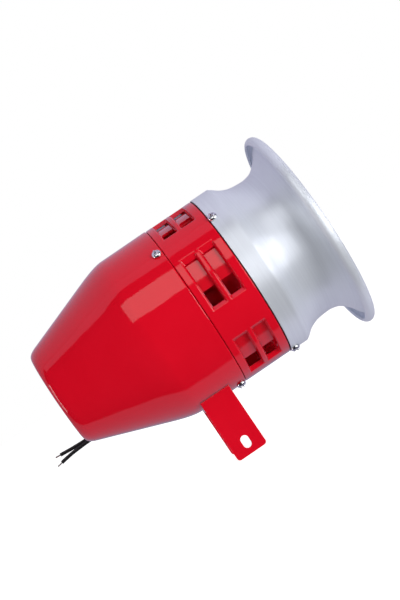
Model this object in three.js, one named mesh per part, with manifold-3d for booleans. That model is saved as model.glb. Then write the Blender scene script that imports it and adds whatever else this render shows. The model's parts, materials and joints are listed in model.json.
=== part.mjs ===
// A motor-driven alarm siren: a painted rear cup with the motor inside, a ring of sound
// ports with the chopper rotor turning in it, a spun horn, and a U-shaped mounting bracket.
// Millimetres. +X points out of the horn, +Z is up, and the bracket's feet stand on z = 0.

import * as THREE from 'three';
import { mergeVertices } from 'three/addons/utils/BufferGeometryUtils.js';
import Module from 'manifold-3d';

const wasm = await Module();
wasm.setup();

// ---- driving dimensions (x runs forward from a datum plane just behind the cup) ----
const ROUND_SIDES = 48;
const MOTOR_SIDES = 24;
const SMALL_SIDES = 16;
const SCREW_SIDES = 12;
const GAP = 0.3;

const AXIS_HEIGHT = 106.8;
const BODY_R = 64.6;
const SHEET = 1.5;

const CUP = {
  backX: 2.7,
  flatR: 34,
  cornerX: 9.6,
  cornerR: 39.97,
  coneX: 62,
  coneR: 59.2,
  roundX: 83,
  lipX: 121,
  lipR: 64.9,
};
const CONE_SLOPE = (CUP.coneR - CUP.cornerR) / (CUP.coneX - CUP.cornerX);

const HOUSING = { rearX: 121.4, frontX: 159.4, innerR: 61.3, spigotR: 63.1, spigotLength: 9.6 };
const PORT_ROWS = [[126.8, 138.6], [141.5, 153.2]];
const PORT_COUNT = 6;
const PORT_CENTRE = -10.5;
const PORT_WIDTH = 38;
const PORT_BEVEL = { degrees: 3, axial: 1.4 };
const CUTTER_HEIGHT = 1.6;

const HORN = { rearX: 160.6, shoulderX: 174.4, collarR: 64.2, sheet: 1.6 };
const LIP = { x: 220.3, r: 75.2, bend: 3.2 };

const ROTOR = { backX: 123.8, frontX: 155.4, drumR: 60.2, wall: 2, hubR: 11, hubX: [117, 141] };
const ROTOR_PORT = { centre: 10, width: 30, grow: 0.5 };
const BLADE = { outerR: 59, outerAngle: -6, innerR: 12, innerAngle: 62, x: [139.8, 154.6], thick: 1.8 };
const RIB = { centre: -20, x: [125, 139], thick: 1.6 };

const SHAFT = { r: 4, x: [27.6, 153] };
const MOTOR = { r: 32, wall: 1.8, x: [38, 104] };
const BEARING = { r: 9.2, length: 6, x: [27.6, 104.2] };
const TIE_BOLT = { r: 1.9, ring: 26.2, angles: [0, 180] };
const PLATE = { x: 109.3, thick: 2, r: 61, rimX: 121 };

const SCREW = { shankR: 1.7, headR: 3.5, headHeight: 2.4, slot: 0.9 };
const SCREW_HOLE_R = SCREW.shankR + GAP;
const BODY_SCREW_ANGLES = [-43.2, 76.8, 196.8];
const CUP_SCREW_X = 116.8;
const COLLAR_SCREW_X = 163.2;
const SCREW_TIP_R = 56.5;

const BRACKET = { x: 96.2, width: 24, thick: 2, halfSpan: 31, cornerR: 2.5 };
const NEAR_SLOT = { width: 6, top: 10.75, low: 7.25 };
const FAR_SLOT = { width: 10, top: 8.5, low: -10 };
const BRACKET_SCREW_ANGLES = [77, 103];
const BACKING = { r: 62.7, thick: 1.7, halfAngle: 20, width: 17 };
const NUT = { flatsR: 4.04, height: 3.1 };

const GROMMET = { x: 13, angle: 129, holeR: 3.9, neckR: 3.6, flangeR: 5, height: 2.8 };
const LEAD_R = 1.35;
const INNER_LEAD_R = 1.15;

const RED = { color: 0xd80c22, roughness: 0.22, metalness: 0.0 };
const DULL_RED = { color: 0xb00a1c, roughness: 0.35, metalness: 0.0 };
const SPUN = { color: 0xc6cbd6, roughness: 0.34, metalness: 1.0 };
const ZINC = { color: 0xb9bcc0, roughness: 0.3, metalness: 1.0 };
const STEEL = { color: 0x9a9da2, roughness: 0.38, metalness: 1.0 };
const COPPER = { color: 0xb4683a, roughness: 0.35, metalness: 1.0 };
const BLACK = { color: 0x151517, roughness: 0.6, metalness: 0.0 };
const CARBON = { color: 0x2c2c2e, roughness: 0.8, metalness: 0.0 };
const IVORY = { color: 0xd9d3c0, roughness: 0.5, metalness: 0.0 };

const radians = THREE.MathUtils.degToRad;

// ---- geometry helpers ----

/** A closed mesh turned into a solid that can be joined and cut. */
function solid(geometry) {
  const bare = geometry.clone();
  bare.deleteAttribute('normal');
  bare.deleteAttribute('uv');
  const merged = mergeVertices(bare, 1e-3);
  const corners = merged.index.array;
  const kept = [];
  for (let i = 0; i < corners.length; i += 3) {
    const [a, b, c] = corners.slice(i, i + 3);
    if (a !== b && b !== c && c !== a) kept.push(a, b, c);
  }
  const vertProperties = Float32Array.from(merged.attributes.position.array);
  return new wasm.Manifold(new wasm.Mesh({ numProp: 3, vertProperties, triVerts: Uint32Array.from(kept) }));
}

/** A solid turned back into a three.js geometry. */
function surface(manifold) {
  const mesh = manifold.getMesh();
  const geometry = new THREE.BufferGeometry();
  geometry.setAttribute('position', new THREE.BufferAttribute(mesh.vertProperties, 3));
  geometry.setIndex(new THREE.BufferAttribute(mesh.triVerts, 1));
  return geometry;
}

/** One geometry with every cutter taken away. */
function cut(geometry, cutters) {
  const whole = cutters.reduce((left, cutter) => left.subtract(solid(cutter)), solid(geometry));
  return surface(whole);
}

/** Several geometries joined into one. */
function join(geometries) {
  const [first, ...rest] = geometries.map(solid);
  return surface(rest.reduce((sum, piece) => sum.add(piece), first));
}

/** A profile of [x, radius] points turned about the X axis. */
function turned(profile, sides = ROUND_SIDES) {
  const points = profile.map(([x, r]) => new THREE.Vector2(r, x));
  return new THREE.LatheGeometry(points, sides).rotateZ(-Math.PI / 2);
}

/** A plain ring about the X axis. */
function ring(x0, x1, innerR, outerR, sides = ROUND_SIDES) {
  return turned([[x0, innerR], [x0, outerR], [x1, outerR], [x1, innerR], [x0, innerR]], sides);
}

/** A bar of round section along X. */
function bar(x0, x1, r, sides = SMALL_SIDES) {
  return turned([[x0, 0], [x0, r], [x1, r], [x1, 0]], sides);
}

/** Turns a geometry made along +Y so that +Y points out of the body at an angle.
 *  0 degrees is the -Y side, 90 degrees is straight down. */
function aim(geometry, x, degrees) {
  return geometry.rotateX(radians(degrees + 180)).translate(x, 0, 0);
}

/** A piece of the body's wall: a box bent around the X axis. With an inset it narrows from its
 *  outer to its inner radius, and its taper runs on past both of them, so that it cuts through. */
function wallPiece({ x, r, degrees, inset = { degrees: 0, axial: 0 }, steps = 5 }) {
  const tall = inset.axial > 0 ? CUTTER_HEIGHT : 1;
  const box = new THREE.BoxGeometry(1, tall, 1, 1, 1, steps);
  const place = box.attributes.position;
  const middle = (x[0] + x[1]) / 2;
  for (let i = 0; i < place.count; i += 1) {
    const depth = 0.5 - place.getY(i);
    const width = degrees - 2 * inset.degrees * depth;
    const length = x[1] - x[0] - 2 * inset.axial * depth;
    const radius = r[0] + (r[1] - r[0]) * (1 - depth);
    const angle = radians(width) * place.getZ(i);
    place.setXYZ(i, middle + length * place.getX(i), radius * Math.cos(angle), radius * Math.sin(angle));
  }
  return box;
}

/** A round radial hole, bored through the wall at an angle. */
function radialHole(x, degrees, r, from = 50, to = 75) {
  const drill = new THREE.CylinderGeometry(r, r, to - from, SMALL_SIDES).translate(0, (from + to) / 2, 0);
  return aim(drill, x, degrees);
}

/** A round hole parallel to X. */
function axialHole(x0, x1, ringR, degrees, r) {
  return aim(bar(x0, x1, r).translate(0, ringR, 0), 0, degrees);
}

/** An outline in the Y-Z plane, extruded along X. */
function extrudedAlongX(shape, x0, x1, curveSegments = 8) {
  const geometry = new THREE.ExtrudeGeometry(shape, { depth: x1 - x0, bevelEnabled: false, curveSegments });
  const toBody = new THREE.Matrix4().makeBasis(
    new THREE.Vector3(0, 1, 0),
    new THREE.Vector3(0, 0, 1),
    new THREE.Vector3(1, 0, 0),
  );
  return geometry.applyMatrix4(toBody).translate(x0, 0, 0);
}

/** An outline in the X-Z plane, extruded along Y and centred on it. */
function extrudedAlongY(shape, depth, curveSegments = 6) {
  const geometry = new THREE.ExtrudeGeometry(shape, { depth, bevelEnabled: false, curveSegments });
  return geometry.rotateX(Math.PI / 2).translate(0, depth / 2, 0);
}

/** A round section swept along a curve. */
function swept(curve, r, steps, sides = 8) {
  const section = new THREE.Shape();
  for (let i = 0; i < sides; i += 1) {
    const angle = (2 * Math.PI * i) / sides;
    const move = i === 0 ? 'moveTo' : 'lineTo';
    section[move](r * Math.cos(angle), r * Math.sin(angle));
  }
  section.closePath();
  return new THREE.ExtrudeGeometry(section, { steps, extrudePath: curve, bevelEnabled: false });
}

/** A pan-head screw along +Y, its head's seat at y = 0, with a cross recess. */
function panScrew(length) {
  const { shankR, headR, headHeight, slot } = SCREW;
  const outline = [[0, -length], [shankR * 0.6, -length], [shankR, -length + 1], [shankR, 0], [headR, 0],
    [headR, headHeight * 0.45], [headR * 0.72, headHeight * 0.9], [0, headHeight]];
  const blank = new THREE.LatheGeometry(outline.map(([r, y]) => new THREE.Vector2(r, y)), SCREW_SIDES);
  const recess = [0, Math.PI / 2].map((turn) => (
    new THREE.BoxGeometry(headR * 1.1, 2.4, slot).rotateY(turn).translate(0, headHeight, 0)));
  return cut(blank, recess);
}

/** A hexagon nut along +Y with a clear bore, its seat at y = 0. */
function hexNut(flatsR, height, boreR) {
  const blank = new THREE.CylinderGeometry(flatsR, flatsR, height, 6).translate(0, -height / 2, 0);
  const bore = new THREE.CylinderGeometry(boreR, boreR, height + 2, SMALL_SIDES).translate(0, -height / 2, 0);
  return cut(blank, [bore]);
}

// ---- the shell ----

/** Points on a round stretch from start to end, pulled towards the corner between them. */
function rounded(start, corner, end, count) {
  const curve = new THREE.QuadraticBezierCurve(
    new THREE.Vector2(...start),
    new THREE.Vector2(...corner),
    new THREE.Vector2(...end),
  );
  return curve.getPoints(count).map((point) => [point.x, point.y]);
}

/** The cup's meridian, moved inwards by an inset. */
function cupMeridian(inset) {
  const { backX, flatR, cornerX, cornerR, coneX, coneR, roundX, lipX, lipR } = CUP;
  const edgeR = cornerR - CONE_SLOPE * (cornerX - backX);
  const flatX = backX + inset;
  const coneTopX = coneX + (BODY_R - coneR) / CONE_SLOPE;
  const back = rounded([flatX, flatR - inset], [flatX, edgeR - inset], [cornerX, cornerR - inset], 4);
  const front = rounded([coneX, coneR - inset], [coneTopX, BODY_R - inset], [roundX, BODY_R - inset], 4);
  return [[flatX, 0], ...back, ...front, [lipX, lipR - inset]];
}

function rearCup() {
  const shell = turned([...cupMeridian(0), ...cupMeridian(SHEET).reverse()]);
  const bodyHoles = BODY_SCREW_ANGLES.map((angle) => radialHole(CUP_SCREW_X, angle, SCREW_HOLE_R));
  const bracketHoles = BRACKET_SCREW_ANGLES.map((angle) => radialHole(BRACKET.x, angle, SCREW_HOLE_R));
  const leadHole = onCone(new THREE.CylinderGeometry(GROMMET.holeR, GROMMET.holeR, 12, SMALL_SIDES));
  return cut(shell, [...bodyHoles, ...bracketHoles, leadHole]);
}

function portHousing() {
  const { rearX, frontX, innerR, spigotR, spigotLength } = HOUSING;
  const wall = turned([
    [rearX - spigotLength, innerR], [rearX - spigotLength, spigotR], [rearX, spigotR], [rearX, BODY_R],
    [frontX, BODY_R], [frontX, spigotR], [frontX + spigotLength, spigotR], [frontX + spigotLength, innerR],
    [rearX - spigotLength, innerR],
  ]);
  const ports = [];
  for (const [x0, x1] of PORT_ROWS) {
    for (let i = 0; i < PORT_COUNT; i += 1) {
      const port = wallPiece({ x: [x0, x1], r: [innerR, BODY_R], degrees: PORT_WIDTH, inset: PORT_BEVEL });
      ports.push(aim(port, 0, PORT_CENTRE + (360 / PORT_COUNT) * i));
    }
  }
  const screwHoles = [CUP_SCREW_X, COLLAR_SCREW_X].flatMap((x) => (
    BODY_SCREW_ANGLES.map((angle) => radialHole(x, angle, SCREW_HOLE_R))));
  return cut(wall, [...ports, ...screwHoles]);
}

/** The middle of the horn's sheet, from the collar's rear edge to the end of the curled lip. */
function hornMeridian() {
  const bell = new THREE.SplineCurve([
    [HORN.shoulderX, HORN.collarR], [177, 62.4], [180.8, 59.4], [185.4, 57.2], [190.1, 55.9], [198.8, 55.2],
    [203.3, 55.7], [207.6, 57], [211.9, 60], [216.3, 64.6], [220.2, 70.5],
  ].map(([x, r]) => new THREE.Vector2(x, r)));
  const lip = new THREE.EllipseCurve(LIP.x, LIP.r, LIP.bend, LIP.bend, radians(-25), radians(175));
  return [new THREE.Vector2(HORN.rearX, HORN.collarR), ...bell.getPoints(13), ...lip.getPoints(6)];
}

/** A sheet of even thickness about a line of points, as a closed outline. */
function sheetOutline(line, thick) {
  const side = (sign) => line.map((point, i) => {
    const before = line[Math.max(i - 1, 0)];
    const after = line[Math.min(i + 1, line.length - 1)];
    const along = after.clone().sub(before).normalize();
    return [point.x - sign * along.y * thick / 2, point.y + sign * along.x * thick / 2];
  });
  const outer = side(1);
  return [...outer, ...side(-1).reverse(), outer[0]];
}

function horn() {
  const bell = turned(sheetOutline(hornMeridian(), HORN.sheet));
  return cut(bell, BODY_SCREW_ANGLES.map((angle) => radialHole(COLLAR_SCREW_X, angle, SCREW_HOLE_R)));
}

function seamGasket() {
  return ring(HOUSING.frontX + GAP, HORN.rearX - GAP, HOUSING.spigotR + GAP, BODY_R - GAP);
}

function bodyScrew(headSeatR) {
  return panScrew(headSeatR - SCREW_TIP_R).translate(0, headSeatR, 0);
}

// ---- the mounting bracket ----

const SADDLE_R = BODY_R + 2 * GAP;

/** The strap seen along the siren's axis: a saddle under the cup and two straight legs. */
function strapOutline() {
  const { thick, halfSpan } = BRACKET;
  const underR = SADDLE_R + thick;
  const inside = halfSpan - thick;
  const shape = new THREE.Shape();
  shape.moveTo(-halfSpan, -AXIS_HEIGHT);
  shape.lineTo(-inside, -AXIS_HEIGHT);
  const underCorner = Math.acos(inside / underR);
  shape.absarc(0, 0, underR, underCorner - Math.PI, -underCorner, false);
  shape.lineTo(inside, -AXIS_HEIGHT);
  shape.lineTo(halfSpan, -AXIS_HEIGHT);
  const topCorner = Math.acos(halfSpan / SADDLE_R);
  shape.absarc(0, 0, SADDLE_R, -topCorner, topCorner - Math.PI, true);
  return shape;
}

/** The strap seen from the side, with the feet's corners rounded. */
function legOutline() {
  const { x, width, cornerR } = BRACKET;
  const top = -40;
  const left = x - width / 2;
  const right = x + width / 2;
  const shape = new THREE.Shape();
  shape.moveTo(left, top);
  shape.lineTo(left, cornerR - AXIS_HEIGHT);
  shape.absarc(left + cornerR, cornerR - AXIS_HEIGHT, cornerR, Math.PI, 1.5 * Math.PI, false);
  shape.absarc(right - cornerR, cornerR - AXIS_HEIGHT, cornerR, 1.5 * Math.PI, 2 * Math.PI, false);
  shape.lineTo(right, top);
  return shape;
}

/** A leg's bolt slot. The far leg's slot runs out through its foot, so that it drops over a bolt. */
function slotOutline({ width, top, low }) {
  const shape = new THREE.Shape();
  shape.absarc(BRACKET.x, top - AXIS_HEIGHT, width / 2, 0, Math.PI, false);
  shape.absarc(BRACKET.x, low - AXIS_HEIGHT, width / 2, Math.PI, 2 * Math.PI, false);
  return shape;
}

function mountingBracket() {
  const { x, width, halfSpan } = BRACKET;
  const strap = solid(extrudedAlongX(strapOutline(), x - width, x + width));
  const depth = 2 * halfSpan + 10;
  const trimmed = surface(strap.intersect(solid(extrudedAlongY(legOutline(), depth))));
  const nearSlot = extrudedAlongY(slotOutline(NEAR_SLOT), depth).translate(0, -depth / 2, 0);
  const farSlot = extrudedAlongY(slotOutline(FAR_SLOT), depth).translate(0, depth / 2, 0);
  const holes = BRACKET_SCREW_ANGLES.map((angle) => radialHole(x, angle, SCREW_HOLE_R));
  return cut(trimmed, [nearSlot, farSlot, ...holes]);
}

function backingPlate() {
  const { r, thick, halfAngle, width } = BACKING;
  const x = [BRACKET.x - width / 2, BRACKET.x + width / 2];
  const plate = aim(wallPiece({ x, r: [r - thick, r], degrees: 2 * halfAngle, steps: 8 }), 0, 90);
  return cut(plate, BRACKET_SCREW_ANGLES.map((angle) => radialHole(BRACKET.x, angle, SCREW_HOLE_R)));
}

// ---- the lead outlet ----

/** Moves a geometry made along +Y onto the cone at the lead outlet, square to its wall. */
function onCone(geometry) {
  const radius = CUP.cornerR + CONE_SLOPE * (GROMMET.x - CUP.cornerX);
  return aim(geometry.rotateZ(Math.atan(CONE_SLOPE)).translate(0, radius, 0), GROMMET.x, GROMMET.angle);
}

function cableGrommet() {
  const { neckR, flangeR, height } = GROMMET;
  const back = -SHEET - 0.8;
  const outline = [
    [0, back - 2], [flangeR - 0.6, back - 2], [flangeR - 0.2, back], [neckR, back],
    [neckR, GAP], [flangeR, GAP], [flangeR, height - 1.2], [flangeR - 1.4, height], [0, height],
  ];
  const body = new THREE.LatheGeometry(outline.map(([r, y]) => new THREE.Vector2(r, y)), SMALL_SIDES);
  return onCone(body);
}

/** Each lead's route outside the cup. */
const LEAD_ROUTES = [
  [[11.9, 28.9, -33.3], [11.7, 29.3, -33.8], [11.3, 29.8, -34.4], [10.7, 30.3, -35], [10, 30.8, -35.5],
    [9.1, 31.1, -35.9], [8.1, 31.4, -36.1], [6.9, 31.5, -36.2], [5.2, 31.5, -36.2], [3.4, 31.5, -36.2],
    [0.5, 31.5, -36.2], [-3, 31.5, -36.1], [-7, 31.5, -35.9], [-11, 31.5, -35.7], [-16, 31.5, -35.3],
    [-20.6, 31.5, -34.9]],
  [[11.9, 26.6, -35.2], [11.7, 27, -35.7], [11.3, 27.5, -36.3], [10.7, 28, -36.9], [10, 28.4, -37.3],
    [9.1, 28.7, -37.6], [8.1, 28.9, -37.8], [6.9, 29, -37.9], [5.2, 29, -37.9], [2.5, 29, -37.9],
    [-1.5, 29, -38], [-5.8, 29, -38.2], [-9.5, 29, -38.4], [-13.3, 29, -38.7], [-19.1, 29, -39.5],
    [-22.5, 29, -40.1]],
];

/** Each lead's route inside the cup, from the grommet to the terminal block. */
const INNER_ROUTES = [
  [[14.9, 24.4, -26.2], [16.2, 22.4, -23.8], [17.2, 19.8, -21.4], [17, 17.6, -19.6], [16, 16.4, -18.4]],
  [[14.9, 22.2, -28.1], [16.2, 19.2, -26.2], [17.2, 15.2, -23.6], [17, 11.8, -20.8], [16, 9.9, -19]],
];

function leadTube(route, radius, steps) {
  const points = route.map((point) => new THREE.Vector3(...point));
  return swept(new THREE.CatmullRomCurve3(points), radius, steps);
}

function terminalBlock() {
  const body = new THREE.BoxGeometry(10, 18, 9).translate(9.5, 12.5, -18.4);
  const barriers = [4.6, 12.5, 20.4].map((y) => new THREE.BoxGeometry(9, 1.6, 3).translate(9.5, y, -13));
  return join([body, ...barriers]);
}

// ---- the motor ----

function shaft() {
  const [x0, x1] = SHAFT.x;
  const { r } = SHAFT;
  return turned([[x0, 0], [x0, r - 0.6], [x0 + 0.6, r], [x1 - 0.8, r], [x1, r - 0.8], [x1, 0]], SMALL_SIDES);
}

function bearing(x) {
  const { r, length } = BEARING;
  const bore = SHAFT.r + GAP;
  return turned([
    [x, bore], [x, bore + 1.4], [x + 0.5, bore + 1.6], [x + 0.5, r - 1.6], [x, r - 1.4], [x, r],
    [x + length, r], [x + length, bore], [x, bore],
  ], SMALL_SIDES);
}

const tieBoltHoles = (x0, x1) => TIE_BOLT.angles.map((angle) => (
  axialHole(x0, x1, TIE_BOLT.ring, angle, TIE_BOLT.r + GAP)));

function motorCan() {
  return ring(MOTOR.x[0] + GAP, MOTOR.x[1], MOTOR.r - MOTOR.wall, MOTOR.r, MOTOR_SIDES);
}

function rearEndBell() {
  const seat = BEARING.r + GAP;
  const x = MOTOR.x[0];
  const bell = turned([
    [x - 13, 0], [x - 13, 11.5], [x - 12, 12.5], [x - 5.5, 12.5], [x - 5.5, MOTOR.r - 1.5], [x - 4, MOTOR.r],
    [x, MOTOR.r], [x, MOTOR.r - 2.2], [x - 3, MOTOR.r - 2.2], [x - 3, seat], [x - 11, seat], [x - 11, 0],
  ], MOTOR_SIDES);
  return cut(bell, tieBoltHoles(x - 8, x + 2));
}

function frontEndBell() {
  const seat = BEARING.r + GAP;
  const x = MOTOR.x[1] + GAP;
  const bell = turned([
    [x, MOTOR.r - 2.2], [x, MOTOR.r], [x + 3.5, MOTOR.r], [x + 4.7, MOTOR.r - 1.2], [x + 4.7, 12.3],
    [x + 7.9, 12.3], [x + 7.9, 5.2], [x + 6.3, 5.2], [x + 6.3, seat], [x + 2.2, seat],
    [x + 2.2, MOTOR.r - 2.2],
    [x, MOTOR.r - 2.2],
  ], MOTOR_SIDES);
  return cut(bell, tieBoltHoles(x - 2, x + 8));
}

function fieldMagnet(degrees) {
  const r = [24.8, MOTOR.r - MOTOR.wall - GAP - 0.2];
  return aim(wallPiece({ x: [55, 98], r, degrees: 128, steps: 14 }), 0, degrees);
}

function armatureCore() {
  const teeth = 12;
  const pitch = 360 / teeth;
  const shape = new THREE.Shape();
  const corner = (r, degrees) => [r * Math.cos(radians(degrees)), r * Math.sin(radians(degrees))];
  shape.moveTo(...corner(23.4, -11));
  for (let i = 0; i < teeth; i += 1) {
    const middle = i * pitch;
    shape.lineTo(...corner(23.4, middle - 11));
    shape.lineTo(...corner(23.6, middle));
    shape.lineTo(...corner(23.4, middle + 11));
    shape.lineTo(...corner(21.6, middle + 11));
    shape.lineTo(...corner(13.5, middle + 9));
    shape.lineTo(...corner(13.5, middle + 21));
    shape.lineTo(...corner(21.6, middle + 19));
  }
  return cut(extrudedAlongX(shape, 53.8, 95), [bar(50, 99, SHAFT.r + GAP)]);
}

function windingEnd(x0, x1) {
  return turned([
    [x0, 9.4], [x0, 18.5], [x0 + 1.8, 21.6], [x1 - 1.2, 22.6], [x1, 21.8], [x1, 9.4], [x0, 9.4],
  ], MOTOR_SIDES);
}

function commutator() {
  const segments = 12;
  const drum = ring(36, 46, SHAFT.r + GAP, 10.2, MOTOR_SIDES);
  const grooves = [];
  for (let i = 0; i < segments; i += 1) {
    const groove = new THREE.BoxGeometry(9, 1.4, 0.5).translate(40.2, 10.2, 0);
    grooves.push(groove.rotateX(radians((360 / segments) * i + 7.5)));
  }
  return cut(drum, grooves);
}

const BRUSH = { x: 41, size: [6, 10, 5], innerR: 10.6 };

function carbonBrush(degrees) {
  const [length, height, width] = BRUSH.size;
  const block = new THREE.BoxGeometry(length, height, width).translate(0, BRUSH.innerR + height / 2, 0);
  return aim(block, BRUSH.x, degrees);
}

function brushHolder(degrees) {
  const [length, , width] = BRUSH.size;
  const tube = new THREE.BoxGeometry(length + 3, 14.4, width + 3).translate(0, 19.6, 0);
  const inside = new THREE.BoxGeometry(length + 2 * GAP, 14, width + 2 * GAP).translate(0, 18.6, 0);
  return aim(cut(tube, [inside]), BRUSH.x, degrees);
}

class Helix extends THREE.Curve {
  constructor(r, turns, start, length) {
    super();
    Object.assign(this, { r, turns, start, length });
  }

  getPoint(t, target = new THREE.Vector3()) {
    const angle = 2 * Math.PI * this.turns * t;
    return target.set(this.r * Math.cos(angle), this.start + this.length * t, this.r * Math.sin(angle));
  }
}

function brushSpring(degrees) {
  const start = BRUSH.innerR + BRUSH.size[1] + 0.7;
  return aim(swept(new Helix(1.9, 2.5, start, 3.1), 0.35, 20, 5), BRUSH.x, degrees);
}

function motorPlate() {
  const { x, thick, r, rimX } = PLATE;
  const plate = turned([
    [x, 12.7], [x, r], [rimX, r], [rimX, r - thick], [x + thick, r - thick], [x + thick, 12.7], [x, 12.7],
  ]);
  const screwHoles = BODY_SCREW_ANGLES.map((angle) => radialHole(CUP_SCREW_X, angle, SCREW_HOLE_R));
  return cut(plate, [...tieBoltHoles(x - 2, x + thick + 2), ...screwHoles]);
}

function tieBolt() {
  const seat = MOTOR.x[0] - 5.5 - GAP;
  const tip = PLATE.x + PLATE.thick + 5;
  return turned([
    [seat - 3, 0], [seat - 3, 2.6], [seat - 2, 3.4], [seat, 3.4], [seat, TIE_BOLT.r],
    [tip, TIE_BOLT.r], [tip, 0],
  ], SMALL_SIDES);
}

// ---- the rotor ----

function rotor() {
  const { backX, frontX, drumR, wall, hubR, hubX } = ROTOR;
  const bore = SHAFT.r + GAP;
  const drum = turned([
    [hubX[0], bore], [hubX[0], hubR], [backX, hubR], [backX, drumR],
    [frontX, drumR], [frontX, drumR - wall], [backX + wall, drumR - wall],
    [backX + wall, hubR + 1], [hubX[1], hubR - 1], [hubX[1], bore], [hubX[0], bore],
  ]);
  const ports = [];
  const blades = [];
  for (let i = 0; i < PORT_COUNT; i += 1) {
    const turn = (360 / PORT_COUNT) * i;
    for (const [x0, x1] of PORT_ROWS) {
      const x = [x0 - ROTOR_PORT.grow, x1 + ROTOR_PORT.grow];
      const port = wallPiece({ x, r: [drumR - wall - 1, drumR + 1], degrees: ROTOR_PORT.width, steps: 3 });
      ports.push(aim(port, 0, ROTOR_PORT.centre + turn));
    }
    blades.push(blade(turn), rib(turn));
  }
  const fan = solid(join(blades)).intersect(solid(bar(backX, frontX, drumR - wall / 2, ROUND_SIDES)));
  const withBore = fan.subtract(solid(bar(backX, frontX, hubR - 2)));
  return surface(solid(cut(drum, ports)).add(withBore));
}

/** A flat rib between the back disc and the middle of the drum, between two columns of ports. */
function rib(turn) {
  const { centre, x, thick } = RIB;
  const innerR = ROTOR.hubR - 1;
  const outerR = ROTOR.drumR - ROTOR.wall / 2;
  const plate = new THREE.BoxGeometry(x[1] - x[0], outerR - innerR, thick);
  return aim(plate.translate((x[0] + x[1]) / 2, (innerR + outerR) / 2, 0), 0, centre + turn);
}

/** A swept blade, from the drum's wall beside a port inwards to the hub. */
function blade(turn) {
  const { outerR, outerAngle, innerR, innerAngle, x, thick } = BLADE;
  const outer = radians(outerAngle + turn + 180);
  const inner = radians(innerAngle + turn + 180);
  const from = new THREE.Vector2(outerR * Math.cos(outer), outerR * Math.sin(outer));
  const to = new THREE.Vector2(innerR * Math.cos(inner), innerR * Math.sin(inner));
  const along = to.clone().sub(from);
  const middle = from.clone().add(to).multiplyScalar(0.5);
  return new THREE.BoxGeometry(x[1] - x[0], along.length() + 2, thick)
    .rotateX(Math.atan2(along.y, along.x))
    .translate((x[0] + x[1]) / 2, middle.x, middle.y);
}

// ---- the assembly ----

const alarmSiren = new THREE.Group();
const body = new THREE.Group();
const hornFront = LIP.x + LIP.bend + HORN.sheet / 2;
body.position.set(-(CUP.backX + hornFront) / 2, 0, AXIS_HEIGHT);
alarmSiren.add(body);

function addMesh(parent, name, geometry, look) {
  const mesh = new THREE.Mesh(geometry, new THREE.MeshStandardMaterial(look));
  mesh.name = name;
  parent.add(mesh);
  return mesh;
}

/** Adds a piece made along +Y, turned so that +Y points out of the body at an angle. */
function addRadial(name, geometry, look, x, degrees) {
  const mesh = addMesh(body, name, geometry, look);
  mesh.position.x = x;
  mesh.rotation.x = radians(degrees + 180);
}

addMesh(body, 'rear_cup', rearCup(), RED);
addMesh(body, 'port_housing', portHousing(), RED);
addMesh(body, 'horn', horn(), SPUN);
addMesh(body, 'seam_gasket', seamGasket(), BLACK);

BODY_SCREW_ANGLES.forEach((angle, i) => {
  addRadial(`cup_screw_${i + 1}`, bodyScrew(CUP.lipR + GAP), ZINC, CUP_SCREW_X, angle);
  const collarSeat = HORN.collarR + HORN.sheet / 2 + GAP;
  addRadial(`collar_screw_${i + 1}`, bodyScrew(collarSeat), ZINC, COLLAR_SCREW_X, angle);
});

addMesh(body, 'mounting_bracket', mountingBracket(), RED);
addMesh(body, 'bracket_backing_plate', backingPlate(), STEEL);
BRACKET_SCREW_ANGLES.forEach((angle, i) => {
  const headSeat = SADDLE_R + BRACKET.thick + 2 * GAP;
  addRadial(`bracket_screw_${i + 1}`, bodyScrew(headSeat), ZINC, BRACKET.x, angle);
  const nutSeat = BACKING.r - BACKING.thick - 2 * GAP;
  const nut = hexNut(NUT.flatsR, NUT.height, SCREW_HOLE_R).translate(0, nutSeat, 0);
  addRadial(`bracket_nut_${i + 1}`, nut, ZINC, BRACKET.x, angle);
});

addMesh(body, 'cable_grommet', cableGrommet(), BLACK);
LEAD_ROUTES.forEach((route, i) => {
  addMesh(body, `lead_${i + 1}`, leadTube(route, LEAD_R, 12), BLACK);
});
INNER_ROUTES.forEach((route, i) => {
  addMesh(body, `inner_lead_${i + 1}`, leadTube(route, INNER_LEAD_R, 6), BLACK);
});
addMesh(body, 'terminal_block', terminalBlock(), IVORY);
addMesh(body, 'noise_capacitor', bar(4.6, 17.4, 4.2).translate(0, -15, -19), BLACK);

addMesh(body, 'motor_can', motorCan(), STEEL);
addMesh(body, 'rear_end_bell', rearEndBell(), STEEL);
addMesh(body, 'front_end_bell', frontEndBell(), STEEL);
addMesh(body, 'field_magnet_upper', fieldMagnet(-90), CARBON);
addMesh(body, 'field_magnet_lower', fieldMagnet(90), CARBON);
addMesh(body, 'motor_plate', motorPlate(), STEEL);
BEARING.x.forEach((x, i) => {
  addMesh(body, ['bearing_rear', 'bearing_front'][i], bearing(x), STEEL);
});
[-90, 90].forEach((angle, i) => {
  addMesh(body, `brush_holder_${i + 1}`, brushHolder(angle), COPPER);
  addMesh(body, `carbon_brush_${i + 1}`, carbonBrush(angle), CARBON);
  addMesh(body, `brush_spring_${i + 1}`, brushSpring(angle), STEEL);
});
TIE_BOLT.angles.forEach((angle, i) => {
  addRadial(`tie_bolt_${i + 1}`, tieBolt().translate(0, TIE_BOLT.ring, 0), ZINC, 0, angle);
  const nut = hexNut(3.8, 3, TIE_BOLT.r + GAP).rotateZ(Math.PI / 2);
  const seat = PLATE.x + PLATE.thick + GAP;
  addRadial(`tie_bolt_nut_${i + 1}`, nut.translate(seat, TIE_BOLT.ring, 0), ZINC, 0, angle);
});

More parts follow.
